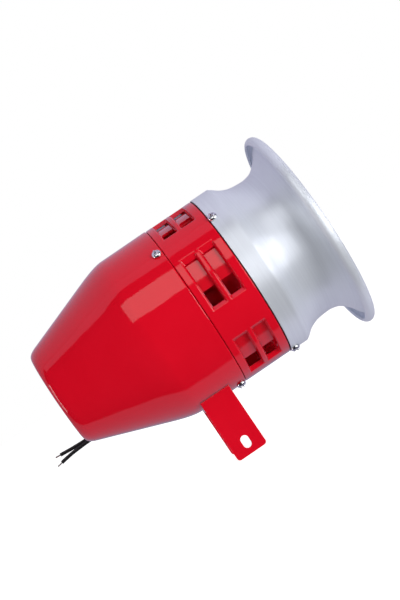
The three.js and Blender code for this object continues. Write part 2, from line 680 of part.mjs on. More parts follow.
addMesh(body, 'motor_shaft', shaft(), STEEL);
addMesh(body, 'armature_core', armatureCore(), STEEL);
addMesh(body, 'winding_rear', windingEnd(46.4, 53.5), COPPER);
addMesh(body, 'winding_front', windingEnd(95.3, 102.4), COPPER);
addMesh(body, 'commutator', commutator(), COPPER);
addMesh(body, 'rotor', rotor(), DULL_RED);
addMesh(body, 'rotor_washer', ring(141.3, 142.7, SHAFT.r + GAP, 8, SMALL_SIDES), ZINC);
addMesh(body, 'rotor_nut', hexNut(7.5, 6.4, SHAFT.r + GAP).rotateZ(Math.PI / 2).translate(143, 0, 0), ZINC);

export default alarmSiren;
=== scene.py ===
"""The looks of a motor-driven alarm siren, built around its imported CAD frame. Metres, +X out of the horn."""

import json
import math

import bmesh
import bpy
from mathutils import Matrix, Vector


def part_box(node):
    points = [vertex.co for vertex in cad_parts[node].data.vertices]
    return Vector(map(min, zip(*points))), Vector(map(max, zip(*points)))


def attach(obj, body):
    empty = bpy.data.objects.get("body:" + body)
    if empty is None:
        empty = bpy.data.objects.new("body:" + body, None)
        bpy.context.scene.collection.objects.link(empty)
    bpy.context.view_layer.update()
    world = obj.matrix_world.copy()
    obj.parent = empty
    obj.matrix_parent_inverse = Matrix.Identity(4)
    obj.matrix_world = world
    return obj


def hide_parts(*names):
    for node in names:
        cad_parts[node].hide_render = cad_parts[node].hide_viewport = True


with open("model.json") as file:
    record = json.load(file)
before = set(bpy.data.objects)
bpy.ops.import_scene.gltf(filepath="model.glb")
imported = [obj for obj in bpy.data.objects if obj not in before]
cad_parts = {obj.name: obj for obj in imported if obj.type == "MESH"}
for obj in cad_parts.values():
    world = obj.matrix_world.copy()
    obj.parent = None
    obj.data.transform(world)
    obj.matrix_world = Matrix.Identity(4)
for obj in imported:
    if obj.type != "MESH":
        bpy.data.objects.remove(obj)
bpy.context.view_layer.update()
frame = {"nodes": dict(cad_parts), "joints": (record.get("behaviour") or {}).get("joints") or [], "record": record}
NODES = frame["nodes"]

MM = 0.001
FIXED = "siren_body"
TURNING = "rotor_assembly"

# ---- driving sizes in millimetres; x runs forward from a datum plane just behind the cup ----
SHEET = 1.5
BODY_SIDES = 192
CUP = {"back_x": 2.7, "flat_r": 34, "corner_x": 9.6, "corner_r": 39.97, "cone_x": 62, "cone_r": 59.2,
       "round_x": 83, "lip_x": 121, "lip_r": 64.9}
HOUSING = {"rear_x": 121.4, "front_x": 159.6, "inner_r": 61.3, "spigot_r": 63.1, "spigot": 9.6}
PORT_ROWS = ((126.8, 138.6), (141.5, 153.2))
PORT_COUNT = 6
PORT_CENTRE = -10.5
PORT_WIDTH = 38
PORT_BEVEL = {"degrees": 3, "axial": 1.4, "lean": 0.6}
HORN = {"rear_x": 160.4, "collar_end": 173.2, "collar_r": 64.2, "sheet": 1.6}
HORN_BELL = ((174.4, 64.2), (177, 62.4), (180.8, 59.4), (185.4, 57.2), (190.1, 55.9), (198.8, 55.2),
             (203.3, 55.7), (207.6, 57), (211.9, 60), (216.3, 64.6), (220.2, 70.5))
HORN_LIP = {"x": 220.3, "r": 75.2, "bend": 3.2, "first": -25, "last": 175}
GASKET = {"inner_r": 63.4, "recess": 0.45, "gap": 0.2, "chamfer": 0.3}
BODY_SCREWS = (-43.2, 76.8, 196.8)
CUP_SCREW_X = 116.8
COLLAR_SCREW_X = 163.2
BRACKET = {"x": 96.2, "width": 24, "thick": 2, "half_span": 31, "corner_r": 2.5, "saddle_r": 65.2,
           "bend": (1.8, 0.7)}
NEAR_SLOT = {"width": 6, "top": 10.75, "low": 7.25, "y": (-40, -20)}
FAR_SLOT = {"width": 10, "top": 8.5, "low": -10, "y": (20, 40)}
BRACKET_SCREWS = (77, 103)
ROTOR = {"back_x": 123.8, "front_x": 155.4, "drum_r": 60.2, "wall": 2, "hub_r": 11, "hub_x": (117, 141),
         "bore_r": 4.1, "disc_gap": 0.02}
ROTOR_PORT = {"centre": 10, "width": 30, "grow": 0.5}
RIB = {"centre": -20, "inner_r": 10, "outer_r": 58.6, "x": (125, 139), "thick": 1.6}
BLADE = {"outer_r": 58.6, "outer_angle": -6, "inner_r": 12, "inner_angle": 62, "bow": 1.6,
         "x": (139.8, 154.6), "thick": 1.8}
SHAFT = {"x": (27.6, 153), "r": 4, "chamfer": 0.6, "thread_x": 141.2, "root_r": 3.45, "pitch": 1.25,
         "turns": 9}
WASHER = {"x": (141.2, 142.7), "bore_r": 4.2, "r": 8, "chamfer": (0.2, 0.1)}
NUT = {"x": (143, 149.3), "bore_r": 4.15, "corner_r": 7.5, "chamfer": (0.7, 0.9), "cutter_x": (142, 150)}
GROMMET = {"x": 13, "angle": 129, "neck_r": 3.6, "flange_r": 5, "height": 2.8, "tail": 4.3,
           "groove": (-2.3, 0.1)}

# ---- places taken from the frame, in metres ----
AXIS_Z = frame["joints"][0]["pos_m"][2]
DATUM_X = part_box("rear_cup")[0].x - CUP["back_x"] * MM
BODY_R = (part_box("port_housing")[1].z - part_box("port_housing")[0].z) / 2

# ---- the camera ----
VIEW_DISTANCE = 1.08
VIEW_HEIGHT = 0.432
VIEW_YAW = math.radians(3.25)
VIEW_ROLL = math.radians(34.05)
SENSOR = 36
CLIP_START = 0.01
CAMERA_TARGET = Vector((DATUM_X + 126.7 * MM, 0, AXIS_Z + 2.1 * MM))


def make_camera():
    """A level camera beside the siren, a little behind it, turned about its own line of sight."""
    back = Vector((-math.sin(VIEW_YAW), -math.cos(VIEW_YAW), 0))
    up = Vector((0, 0, 1))
    side = up.cross(back)
    right = math.cos(VIEW_ROLL) * side - math.sin(VIEW_ROLL) * up
    top = math.sin(VIEW_ROLL) * side + math.cos(VIEW_ROLL) * up
    data = bpy.data.cameras.new("camera")
    data.sensor_width = SENSOR
    data.lens = SENSOR * VIEW_DISTANCE / VIEW_HEIGHT
    data.clip_start = CLIP_START
    camera = bpy.data.objects.new("camera", data)
    place = Matrix((right, top, back)).transposed().to_4x4()
    place.translation = CAMERA_TARGET + VIEW_DISTANCE * back
    camera.matrix_world = place
    bpy.context.scene.collection.objects.link(camera)
    bpy.context.scene.camera = camera


# ---- materials ----

class Look:
    """A Principled material that is textured in the object's own coordinates."""

    def __init__(self, name, **sockets):
        self.material = bpy.data.materials.new(name)
        self.material.use_nodes = True
        self.tree = self.material.node_tree
        self.shader = self.tree.nodes["Principled BSDF"]
        for socket, value in sockets.items():
            self.shader.inputs[socket.replace("_", " ")].default_value = value
        self.place = self.node("ShaderNodeTexCoord").outputs["Object"]

    def node(self, kind, **settings):
        made = self.tree.nodes.new(kind)
        for setting, value in settings.items():
            setattr(made, setting, value)
        return made

    def link(self, start, end):
        self.tree.links.new(start, end)

    def noise(self, scale, detail=3.0, vector=None, roughness=0.5):
        made = self.node("ShaderNodeTexNoise")
        made.inputs["Scale"].default_value = scale
        made.inputs["Detail"].default_value = detail
        made.inputs["Roughness"].default_value = roughness
        self.link(vector or self.place, made.inputs["Vector"])
        return made.outputs["Fac"]

    def ramp(self, factor, low, high, start=0.3, stop=0.7):
        """A colour between low and high, by factor."""
        made = self.node("ShaderNodeValToRGB")
        made.color_ramp.elements[0].position = start
        made.color_ramp.elements[1].position = stop
        made.color_ramp.elements[0].color = (*low, 1)
        made.color_ramp.elements[1].color = (*high, 1)
        self.link(factor, made.inputs["Fac"])
        return made.outputs["Color"]

    def spread(self, factor, low, high, start=0.3, stop=0.7):
        """A number between low and high, by factor."""
        made = self.node("ShaderNodeMapRange")
        made.inputs["From Min"].default_value = start
        made.inputs["From Max"].default_value = stop
        made.inputs["To Min"].default_value = low
        made.inputs["To Max"].default_value = high
        self.link(factor, made.inputs["Value"])
        return made.outputs["Result"]

    def colour(self, output):
        self.link(output, self.shader.inputs["Base Color"])

    def roughness(self, output):
        self.link(output, self.shader.inputs["Roughness"])

    def bump(self, height, strength, distance):
        made = self.node("ShaderNodeBump")
        made.inputs["Strength"].default_value = strength
        made.inputs["Distance"].default_value = distance
        self.link(height, made.inputs["Height"])
        self.link(made.outputs["Normal"], self.shader.inputs["Normal"])

    def around_axis(self, along, across, around=0.0):
        """Coordinates that run along the siren's axis, out from it and around it."""
        split = self.node("ShaderNodeSeparateXYZ")
        self.link(self.place, split.inputs["Vector"])
        lift = self.node("ShaderNodeMath", operation="SUBTRACT")
        self.link(split.outputs["Z"], lift.inputs[0])
        lift.inputs[1].default_value = AXIS_Z
        flat = self.node("ShaderNodeCombineXYZ")
        self.link(split.outputs["Y"], flat.inputs["X"])
        self.link(lift.outputs["Value"], flat.inputs["Y"])
        length = self.node("ShaderNodeVectorMath", operation="LENGTH")
        self.link(flat.outputs["Vector"], length.inputs[0])
        turn = self.node("ShaderNodeMath", operation="ARCTAN2")
        self.link(lift.outputs["Value"], turn.inputs[0])
        self.link(split.outputs["Y"], turn.inputs[1])
        joined = self.node("ShaderNodeCombineXYZ")
        values = (split.outputs["X"], length.outputs["Value"], turn.outputs["Value"])
        for source, value, factor in zip("XYZ", values, (along, across, around)):
            scaled = self.node("ShaderNodeMath", operation="MULTIPLY")
            self.link(value, scaled.inputs[0])
            scaled.inputs[1].default_value = factor
            self.link(scaled.outputs["Value"], joined.inputs[source])
        return joined.outputs["Vector"]


def paint(name, low, high, rough, coat):
    """Sprayed enamel: an even colour with a faint orange peel and a clear gloss."""
    look = Look(name, Specular_IOR_Level=0.5, Coat_Weight=coat, Coat_Roughness=0.03, Coat_IOR=1.35)
    look.colour(look.ramp(look.noise(28, 4), low, high))
    look.roughness(look.spread(look.noise(60, 3), rough[0], rough[1]))
    look.bump(look.noise(80, 3, roughness=0.25), 1.0, 0.14 * MM)
    return look.material


def spun_metal():
    """Spun aluminium: fine lathe lines around the axis under a matt, half-scattering finish."""
    look = Look("spun_aluminium", Metallic=0.5, Specular_IOR_Level=0.3, Anisotropic=0.8,
                Anisotropic_Rotation=0.25)
    tangent = look.node("ShaderNodeTangent", direction_type="RADIAL", axis="X")
    look.link(tangent.outputs["Tangent"], look.shader.inputs["Tangent"])
    lines = look.noise(1.0, 4, look.around_axis(900, 900, 0.5), 0.6)
    cloud = look.noise(18, 4)
    tone = look.node("ShaderNodeMath", operation="ADD")
    look.link(look.spread(lines, 0.0, 0.5, 0.35, 0.65), tone.inputs[0])
    look.link(look.spread(cloud, 0.0, 0.5), tone.inputs[1])
    look.colour(look.ramp(tone.outputs["Value"], (0.79, 0.825, 0.90), (0.86, 0.90, 0.97), 0.1, 0.9))
    mixed = look.node("ShaderNodeMath", operation="ADD")
    look.link(look.spread(lines, 0.0, 0.10), mixed.inputs[0])
    look.link(look.spread(cloud, 0.40, 0.46), mixed.inputs[1])
    look.roughness(mixed.outputs["Value"])
    look.bump(lines, 0.12, 0.02 * MM)
    return look.material


def metal(name, low, high, rough, scale=160):
    """Plain machined or plated metal, a little uneven in tone and polish."""
    look = Look(name, Metallic=1.0)
    look.colour(look.ramp(look.noise(scale, 5), low, high))
    look.roughness(look.spread(look.noise(scale * 2.4, 6), rough[0], rough[1]))
    look.bump(look.noise(scale * 9, 3), 0.15, 0.02 * MM)
    return look.material


def plain(name, low, high, rough, scale=220, grain=0.3):
    """A moulded plastic, rubber or sintered surface with a fine grain."""
    look = Look(name, Specular_IOR_Level=0.4)
    look.colour(look.ramp(look.noise(scale, 5), low, high))
    look.roughness(look.spread(look.noise(scale * 0.6, 4), rough[0], rough[1]))
    look.bump(look.noise(scale * 7, 4), grain, 0.03 * MM)
    return look.material


RED = paint("red_gloss_paint", (0.65, 0.0022, 0.0135), (0.68, 0.0030, 0.0160), (0.045, 0.075), 0.15)
RED_ROTOR = paint("red_satin_paint", (0.60, 0.0022, 0.012), (0.64, 0.0030, 0.015), (0.09, 0.14), 0.9)
SPUN = spun_metal()
ZINC = metal("zinc_steel", (0.78, 0.79, 0.82), (0.92, 0.93, 0.95), (0.16, 0.30), 300)
STEEL = metal("bare_steel", (0.36, 0.37, 0.39), (0.48, 0.49, 0.51), (0.3, 0.45))
COPPER = metal("copper_alloy", (0.55, 0.25, 0.12), (0.70, 0.36, 0.18), (0.28, 0.42))
TINNED = metal("tinned_copper", (0.66, 0.62, 0.58), (0.82, 0.79, 0.75), (0.25, 0.4), 700)
FERRITE = plain("ferrite", (0.035, 0.035, 0.038), (0.06, 0.06, 0.065), (0.6, 0.8), 120)
RUBBER = plain("black_rubber", (0.012, 0.012, 0.013), (0.024, 0.024, 0.026), (0.55, 0.75))
PVC = plain("black_plastic", (0.010, 0.010, 0.011), (0.020, 0.020, 0.022), (0.32, 0.46), 400, 0.15)
CARBON = plain("carbon", (0.03, 0.03, 0.031), (0.055, 0.055, 0.058), (0.6, 0.8), 500)
IVORY = plain("ivory_plastic", (0.62, 0.57, 0.44), (0.72, 0.67, 0.54), (0.4, 0.55), 90)

LOOK_OF_SLOT = {
    "red_gloss_paint": RED, "red_satin_paint": RED_ROTOR, "spun_aluminium": SPUN, "zinc_steel": ZINC,
    "bare_steel": STEEL, "copper_alloy": COPPER, "ferrite": FERRITE, "black_rubber": RUBBER,
    "black_plastic": PVC, "carbon": CARBON, "ivory_plastic": IVORY,
}


def dress_nodes():
    """Gives every CAD node the look of its material slot."""
    for entry in frame["record"]["subparts"]:
        node = NODES[entry["node"]]
        node.data.materials.clear()
        node.data.materials.append(LOOK_OF_SLOT[entry["material_slot"]])


# ---- mesh helpers ----

WELD = 0.002 * MM
ON_AXIS = 1e-7


def at(x, r, degrees):
    """A point x ahead of the datum plane and r from the axis. 0 degrees is the -Y side and 90 is down."""
    angle = math.radians(degrees)
    return Vector((DATUM_X + x, -r * math.cos(angle), AXIS_Z - r * math.sin(angle)))


def finish_mesh(mesh, name, look, body, bevel=0.0, crease=32):
    """Makes a shaded piece from a bmesh, lets it ride on a body and rounds its sharp edges."""
    bmesh.ops.remove_doubles(mesh, verts=mesh.verts, dist=WELD)
    bmesh.ops.recalc_face_normals(mesh, faces=mesh.faces)
    for face in mesh.faces:
        face.smooth = True
    for edge in mesh.edges:
        sharp = edge.is_manifold and edge.calc_face_angle(0) > math.radians(crease)
        edge.smooth = not sharp
    data = bpy.data.meshes.new(name)
    mesh.to_mesh(data)
    mesh.free()
    piece = bpy.data.objects.new(name, data)
    bpy.context.scene.collection.objects.link(piece)
    data.materials.append(look)
    if bevel:
        soften(piece, bevel, crease)
    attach(piece, body)
    return piece


def soften(piece, width, crease):
    rounding = piece.modifiers.new("edges", "BEVEL")
    rounding.width = width
    rounding.segments = 3
    rounding.limit_method = "ANGLE"
    rounding.angle_limit = math.radians(crease)
    rounding.harden_normals = True
    rounding.use_clamp_overlap = True


def bridge(mesh, near, far):
    """Faces between two closed loops of as many corners. A loop may be one point, repeated."""
    for i, corner in enumerate(near):
        k = (i + 1) % len(near)
        kept = list(dict.fromkeys((corner, near[k], far[k], far[i])))
        if len(kept) > 2:
            mesh.faces.new(kept)


def turned(mesh, outline, sides):
    """Turns an outline of (x, r) points about the siren's axis. It closes on itself or on the axis."""
    rings = []
    for x, r in outline:
        if r < ON_AXIS:
            rings.append([mesh.verts.new(at(x, 0, 0))] * sides)
        else:
            rings.append([mesh.verts.new(at(x, r, 360 * i / sides)) for i in range(sides)])
    closed = outline[0][1] > ON_AXIS
    count = len(rings)
    for j in range(count if closed else count - 1):
        bridge(mesh, rings[j], rings[(j + 1) % count])


def circle(radius, sides):
    turns = [2 * math.pi * i / sides for i in range(sides)]
    return [(radius * math.cos(turn), radius * math.sin(turn)) for turn in turns]


def curve_points(start, corner, end, count):
    """Points on a round stretch from start to end, pulled towards the corner between them."""
    points = []
    for i in range(count + 1):
        t = i / count
        points.append(tuple(
            (1 - t) ** 2 * a + 2 * t * (1 - t) * b + t * t * c for a, b, c in zip(start, corner, end)))
    return points


def scaled(points, factor=MM):
    return [tuple(value * factor for value in point) for point in points]


def sheet_outline(line, thick):
    """The closed outline of a sheet of even thickness about a line of points."""
    outer, inner = [], []
    for i, point in enumerate(line):
        before = Vector(line[max(i - 1, 0)])
        after = Vector(line[min(i + 1, len(line) - 1)])
        along = (after - before).normalized()
        normal = Vector((-along.y, along.x)) * thick / 2
        outer.append(tuple(Vector(point) + normal))
        inner.append(tuple(Vector(point) - normal))
    return outer + inner[::-1]


def spline(points, steps):
    """A smooth curve through points: Catmull-Rom, with the same number of steps in each gap."""
    vectors = [Vector(point) for point in points]
    ends = [2 * vectors[0] - vectors[1], *vectors, 2 * vectors[-1] - vectors[-2]]
    made = []
    for i in range(1, len(ends) - 2):
        a, b, c, d = ends[i - 1:i + 3]
        for step in range(steps):
            t = step / steps
            made.append(0.5 * (2 * b + (c - a) * t + (2 * a - 5 * b + 4 * c - d) * t ** 2
                               + (3 * b - a - 3 * c + d) * t ** 3))
    return [tuple(point) for point in made] + [tuple(vectors[-1])]


# ---- the leads ----

LEAD_ROUTES = (
    ((11.9, 28.9, -33.3), (11.7, 29.3, -33.8), (11.3, 29.8, -34.4), (10.7, 30.3, -35), (10, 30.8, -35.5),
     (9.1, 31.1, -35.9), (8.1, 31.4, -36.1), (6.9, 31.5, -36.2), (5.2, 31.5, -36.2), (3.4, 31.5, -36.2),
     (0.5, 31.5, -36.2), (-3, 31.5, -36.1), (-7, 31.5, -35.9), (-11, 31.5, -35.7), (-16, 31.5, -35.3),
     (-20.6, 31.5, -34.9)),
    ((11.9, 26.6, -35.2), (11.7, 27, -35.7), (11.3, 27.5, -36.3), (10.7, 28, -36.9), (10, 28.4, -37.3),
     (9.1, 28.7, -37.6), (8.1, 28.9, -37.8), (6.9, 29, -37.9), (5.2, 29, -37.9), (2.5, 29, -37.9),
     (-1.5, 29, -38), (-5.8, 29, -38.2), (-9.5, 29, -38.4), (-13.3, 29, -38.7), (-19.1, 29, -39.5),
     (-22.5, 29, -40.1)),
)
LEAD_DIAMETER = 2.7 * MM
STRIPPED = 4.5 * MM
STRAND_R = 0.2 * MM
STRAND_PITCH = 2.02 * STRAND_R
STRAND_COUNT = 7
STRAND_TURNS = 1.3
STRAND_START = 0.5 * MM


def tube_curve(name, points, radius):
    data = bpy.data.curves.new(name, "CURVE")
    data.dimensions = "3D"
    data.bevel_depth = radius
    data.bevel_resolution = 6
    data.use_fill_caps = True
    line = data.splines.new("POLY")
    line.points.add(len(points) - 1)
    for knot, point in zip(line.points, points):
        knot.co = (*point, 1)
    line.use_smooth = True
    return data


def stripped_end(name, tip, along):
    """Seven tinned strands, twisted together, past the cut end of the insulation."""
    mesh = bmesh.new()
    side = along.orthogonal().normalized()
    other = along.cross(side)
    sides, steps = 8, 12
    for strand in range(STRAND_COUNT):
        orbit = STRAND_PITCH if strand else 0
        phase = 2 * math.pi * strand / (STRAND_COUNT - 1)
        rings = []
        for step in range(steps + 1):
            t = step / steps
            angle = phase + 2 * math.pi * STRAND_TURNS * t
            centre = tip + along * (STRIPPED * t - STRAND_START)
            centre = centre + orbit * (math.cos(angle) * side + math.sin(angle) * other)
            rings.append([mesh.verts.new(centre + a * side + b * other) for a, b in circle(STRAND_R, sides)])
        for near, far in zip(rings, rings[1:]):
            bridge(mesh, near, far)
        mesh.faces.new(rings[0][::-1])
        mesh.faces.new(rings[-1])
    return finish_mesh(mesh, name, TINNED, FIXED)


def make_leads():
    for i, route in enumerate(LEAD_ROUTES):
        points = [Vector(point) + Vector((DATUM_X, 0, AXIS_Z)) for point in spline(scaled(route), 4)]
        data = tube_curve(f"lead_insulation_{i + 1}", points, LEAD_DIAMETER / 2)
        data.materials.append(PVC)
        lead = bpy.data.objects.new(f"lead_insulation_{i + 1}", data)
        bpy.context.scene.collection.objects.link(lead)
        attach(lead, FIXED)
        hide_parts(f"lead_{i + 1}")
        along = (points[-1] - points[-2]).normalized()
        end = stripped_end(f"lead_strands_{i + 1}", points[-1], along)


# ---- the shell ----

LIP_ROUND = 0.9
LIP_RUN_IN = 0.1
HOUSING_ROUND = 0.8 * MM
CONE_SLOPE = (CUP["cone_r"] - CUP["corner_r"]) / (CUP["cone_x"] - CUP["corner_x"])


def cup_meridian(inset):
    """The cup's meridian in millimetres, moved inwards by an inset."""
    edge_r = CUP["corner_r"] - CONE_SLOPE * (CUP["corner_x"] - CUP["back_x"])
    flat_x = CUP["back_x"] + inset
    cone_top = CUP["cone_x"] + (BODY_R / MM - CUP["cone_r"]) / CONE_SLOPE
    wall_r = BODY_R / MM - inset
    back = curve_points((flat_x, CUP["flat_r"] - inset), (flat_x, edge_r - inset),
                        (CUP["corner_x"], CUP["corner_r"] - inset), 24)
    front = curve_points((CUP["cone_x"], CUP["cone_r"] - inset), (cone_top, wall_r),
                         (CUP["round_x"], wall_r), 16)
    return [(flat_x, 0), *back, *front, (CUP["lip_x"] - LIP_ROUND - LIP_RUN_IN, CUP["lip_r"] - inset)]


def make_rear_cup():
    mesh = bmesh.new()
    lip_x, lip_r = CUP["lip_x"], CUP["lip_r"]
    lip = curve_points((lip_x - LIP_ROUND, lip_r), (lip_x, lip_r), (lip_x, lip_r - LIP_ROUND), 5)
    turned(mesh, scaled([*cup_meridian(0), *lip, *cup_meridian(SHEET)[::-1]]), BODY_SIDES)
    cup = finish_mesh(mesh, "rear_cup_painted", RED, FIXED)
    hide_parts("rear_cup")


def pierced_wall(mesh, rows, centre, width, radii, ends, tails=((), ()), inset=(0.0, 0.0), lean=0.0):
    """A ring with rows of ports through it. Each port narrows inwards by inset (degrees, x) and leans round
    by lean degrees. tails are the outlines that close the ring at its two ends, from outside to inside."""
    in_port, between = 12, 8
    pitch = 360 / PORT_COUNT
    turn_inset, axial_inset = inset

    def angles(narrow, shift=0.0):
        half = width / 2 - narrow
        made = []
        for k in range(PORT_COUNT):
            middle = centre + pitch * k + shift
            made += [middle - half + 2 * half * i / in_port for i in range(in_port)]
            gap = pitch - 2 * half
            made += [middle + half + gap * i / between for i in range(between)]
        return made

    def stations(narrow):
        made = [ends[0]]
        for low, high in rows:
            made += [low + narrow, high - narrow]
        return [*made, ends[1]]

    outer = [[mesh.verts.new(at(x, radii[0], a)) for a in angles(0)] for x in stations(0)]
    inner = [[mesh.verts.new(at(x, radii[1], a)) for a in angles(turn_inset, lean)]
             for x in stations(axial_inset)]
    count = len(outer[0])
    is_port_row = [j % 2 == 1 for j in range(len(outer) - 1)]
    is_port_column = [i % (in_port + between) < in_port for i in range(count)]
    for j, port_row in enumerate(is_port_row):
        for i, port_column in enumerate(is_port_column):
            k = (i + 1) % count
            if not (port_row and port_column):
                for grid in (outer, inner):
                    mesh.faces.new((grid[j][i], grid[j][k], grid[j + 1][k], grid[j + 1][i]))
                continue
            for row in (j, j + 1):
                mesh.faces.new((outer[row][i], outer[row][k], inner[row][k], inner[row][i]))
            if not is_port_column[i - 1]:
                mesh.faces.new((outer[j][i], outer[j + 1][i], inner[j + 1][i], inner[j][i]))
            if not is_port_column[k]:
                mesh.faces.new((outer[j][k], outer[j + 1][k], inner[j + 1][k], inner[j][k]))
    for edge, tail in ((0, tails[0]), (-1, tails[1])):
        between_walls = [[mesh.verts.new(at(x, r, a)) for a in angles(0)] for x, r in tail]
        loops = [outer[edge], *between_walls, inner[edge]]
        for near, far in zip(loops, loops[1:]):
            bridge(mesh, near, far)


def make_port_housing():
    mesh = bmesh.new()
    spigot, spigot_r, inner_r = HOUSING["spigot"], HOUSING["spigot_r"], HOUSING["inner_r"]
    rear_x, front_x = HOUSING["rear_x"], HOUSING["front_x"]
    tails = (
        scaled([(rear_x, spigot_r), (rear_x - spigot, spigot_r), (rear_x - spigot, inner_r)]),
        scaled([(front_x, spigot_r), (front_x + spigot, spigot_r), (front_x + spigot, inner_r)]),
    )
    inset = (PORT_BEVEL["degrees"], PORT_BEVEL["axial"] * MM)
    pierced_wall(mesh, scaled(PORT_ROWS), PORT_CENTRE, PORT_WIDTH, (BODY_R, inner_r * MM),
                 (rear_x * MM, front_x * MM), tails, inset, PORT_BEVEL["lean"])
    housing = finish_mesh(mesh, "port_housing_painted", RED, FIXED, HOUSING_ROUND, 28)
    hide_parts("port_housing")


def horn_line():
    """The middle of the horn's sheet in millimetres, from the collar's edge to the end of the curled lip."""
    first, last, bend, steps = HORN_LIP["first"], HORN_LIP["last"], HORN_LIP["bend"], 28
    turns = [math.radians(first + (last - first) * i / steps) for i in range(steps + 1)]
    lip = [(HORN_LIP["x"] + bend * math.cos(turn), HORN_LIP["r"] + bend * math.sin(turn)) for turn in turns]
    collar = [(x, HORN["collar_r"]) for x in (HORN["rear_x"], HORN["collar_end"])]
    return [*collar, *spline(HORN_BELL, 6), *lip]


def make_horn():
    mesh = bmesh.new()
    turned(mesh, scaled(sheet_outline(horn_line(), HORN["sheet"])), BODY_SIDES)
    horn = finish_mesh(mesh, "horn_spun", SPUN, FIXED, bevel=0.3 * MM, crease=45)
    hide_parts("horn")


def make_seam_gasket():
    mesh = bmesh.new()
    rear, front = HOUSING["front_x"] + GASKET["gap"], HORN["rear_x"] - GASKET["gap"]
    inner, outer, chamfer = GASKET["inner_r"], BODY_R / MM - GASKET["recess"], GASKET["chamfer"]
    outline = [(rear, inner), (rear, outer - chamfer), (rear + chamfer, outer),
               (front - chamfer, outer), (front, outer - chamfer), (front, inner)]
    turned(mesh, scaled(outline), BODY_SIDES)
    gasket = finish_mesh(mesh, "seam_gasket_rubber", RUBBER, FIXED)
    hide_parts("seam_gasket")


# ---- fasteners ----

SCREW = {"shank_r": 1.7, "shank": 9, "head_r": 3.5, "head": 2.4, "chamfer": 0.15}
SCREW_DOME = ((1, 0.34), (0.965, 0.52), (0.88, 0.71), (0.74, 0.86), (0.52, 0.96), (0.26, 1), (0, 1))
CROSS = {"span": 4.2, "width": 0.95, "depth": 0.95, "core": ((0, -1.6), (0.7, -1), (1.05, 1), (0, 1))}
SEAT_GAP = 0.1


def radial_frame(x, degrees, r, spin=0.0):
    """A frame whose Z points out of the body at an angle, at radius r."""
    out = (at(0, 1, degrees) - at(0, 0, degrees)).normalized()
    along = Vector((1, 0, 0))
    rows = Matrix((along, out.cross(along), out)).transposed().to_4x4()
    rows.translation = at(x, r, degrees)
    return rows @ Matrix.Rotation(math.radians(spin), 4, "Z")


def lathe_z(mesh, outline, sides):
    """Turns (r, z) points about Z. The outline starts and ends on the axis."""
    rings = []
    for r, z in outline:
        if r < ON_AXIS:
            rings.append([mesh.verts.new((0, 0, z))] * sides)
        else:
            rings.append([mesh.verts.new((x, y, z)) for x, y in circle(r, sides)])
    for near, far in zip(rings, rings[1:]):
        bridge(mesh, near, far)


def block(mesh, size, centre, turn):
    """A box of a given size about a centre, turned about Z."""
    made = bmesh.ops.create_cube(mesh, size=1.0)["verts"]
    place = Matrix.Rotation(turn, 4, "Z") @ Matrix.Translation(centre) @ Matrix.Diagonal((*size, 1))
    bmesh.ops.transform(mesh, matrix=place, verts=made)


def plain_object(mesh, name):
    """An object for a boolean to use. It doesn't stay in the scene."""
    bmesh.ops.recalc_face_normals(mesh, faces=mesh.faces)
    data = bpy.data.meshes.new(name)
    mesh.to_mesh(data)
    mesh.free()
    made = bpy.data.objects.new(name, data)
    bpy.context.scene.collection.objects.link(made)
    return made


def carve(body, cutters, operation="DIFFERENCE"):
    """Body after a boolean with every cutter, as a new bmesh. The inputs are removed."""
    for cutter in cutters:
        step = body.modifiers.new("cut", "BOOLEAN")
        step.operation = operation
        step.solver = "EXACT"
        step.object = cutter
    bpy.context.view_layer.update()
    result = bmesh.new()
    result.from_object(body, bpy.context.evaluated_depsgraph_get())
    for used in (body, *cutters):
        bpy.data.objects.remove(used)
    return result


def screw_mesh():
    """A pan-head screw along +Z, its seat at z = 0, with a tapered cross recess."""
    head_r, head, shank_r = SCREW["head_r"], SCREW["head"], SCREW["shank_r"]
    dome = [(head_r * across, head * up) for across, up in SCREW_DOME]
    blank = bmesh.new()
    lathe_z(blank, scaled([(0, -SCREW["shank"]), (shank_r, -SCREW["shank"]), (shank_r, 0),
                           (head_r - SCREW["chamfer"], 0), (head_r, SCREW["chamfer"]), *dome]), 40)
    cutters = []
    for turn in (0, math.pi / 2):
        slot = bmesh.new()
        size = (CROSS["span"] * MM, CROSS["width"] * MM, 2 * CROSS["depth"] * MM)
        block(slot, size, (0, 0, head * MM), turn)
        cutters.append(plain_object(slot, "slot"))
    core = bmesh.new()
    lathe_z(core, scaled([(r, head + z) for r, z in CROSS["core"]]), 20)
    cutters.append(plain_object(core, "core"))
    return carve(plain_object(blank, "blank"), cutters)


def add_screw(name, node, x, degrees, seat_r, spin):
    mesh = screw_mesh()
    place = radial_frame(x * MM, degrees, seat_r * MM, spin)
    bmesh.ops.transform(mesh, matrix=place, verts=mesh.verts)
    screw = finish_mesh(mesh, name, ZINC, FIXED, bevel=0.06 * MM, crease=40)
    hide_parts(node)


def make_screws():
    """Every visible screw, each turned by its own amount, as a hand leaves them."""
    collar_seat = HORN["collar_r"] + HORN["sheet"] / 2
    saddle_seat = BRACKET["saddle_r"] + BRACKET["thick"]
    rings = (
        ("cup_screw", CUP_SCREW_X, BODY_SCREWS, CUP["lip_r"], 20, 47),
        ("collar_screw", COLLAR_SCREW_X, BODY_SCREWS, collar_seat, 38, 31),
        ("bracket_screw", BRACKET["x"], BRACKET_SCREWS, saddle_seat, 12, 53),
    )
    for name, x, angles, seat_r, first_spin, spin_step in rings:
        for i, angle in enumerate(angles):
            add_screw(f"{name}_zinc_{i + 1}", f"{name}_{i + 1}", x, angle, seat_r + SEAT_GAP,
                      first_spin + spin_step * i)


# ---- the mounting bracket ----

CUTTER_REACH = 3
CUTTER_SPAN = (-40, 40)


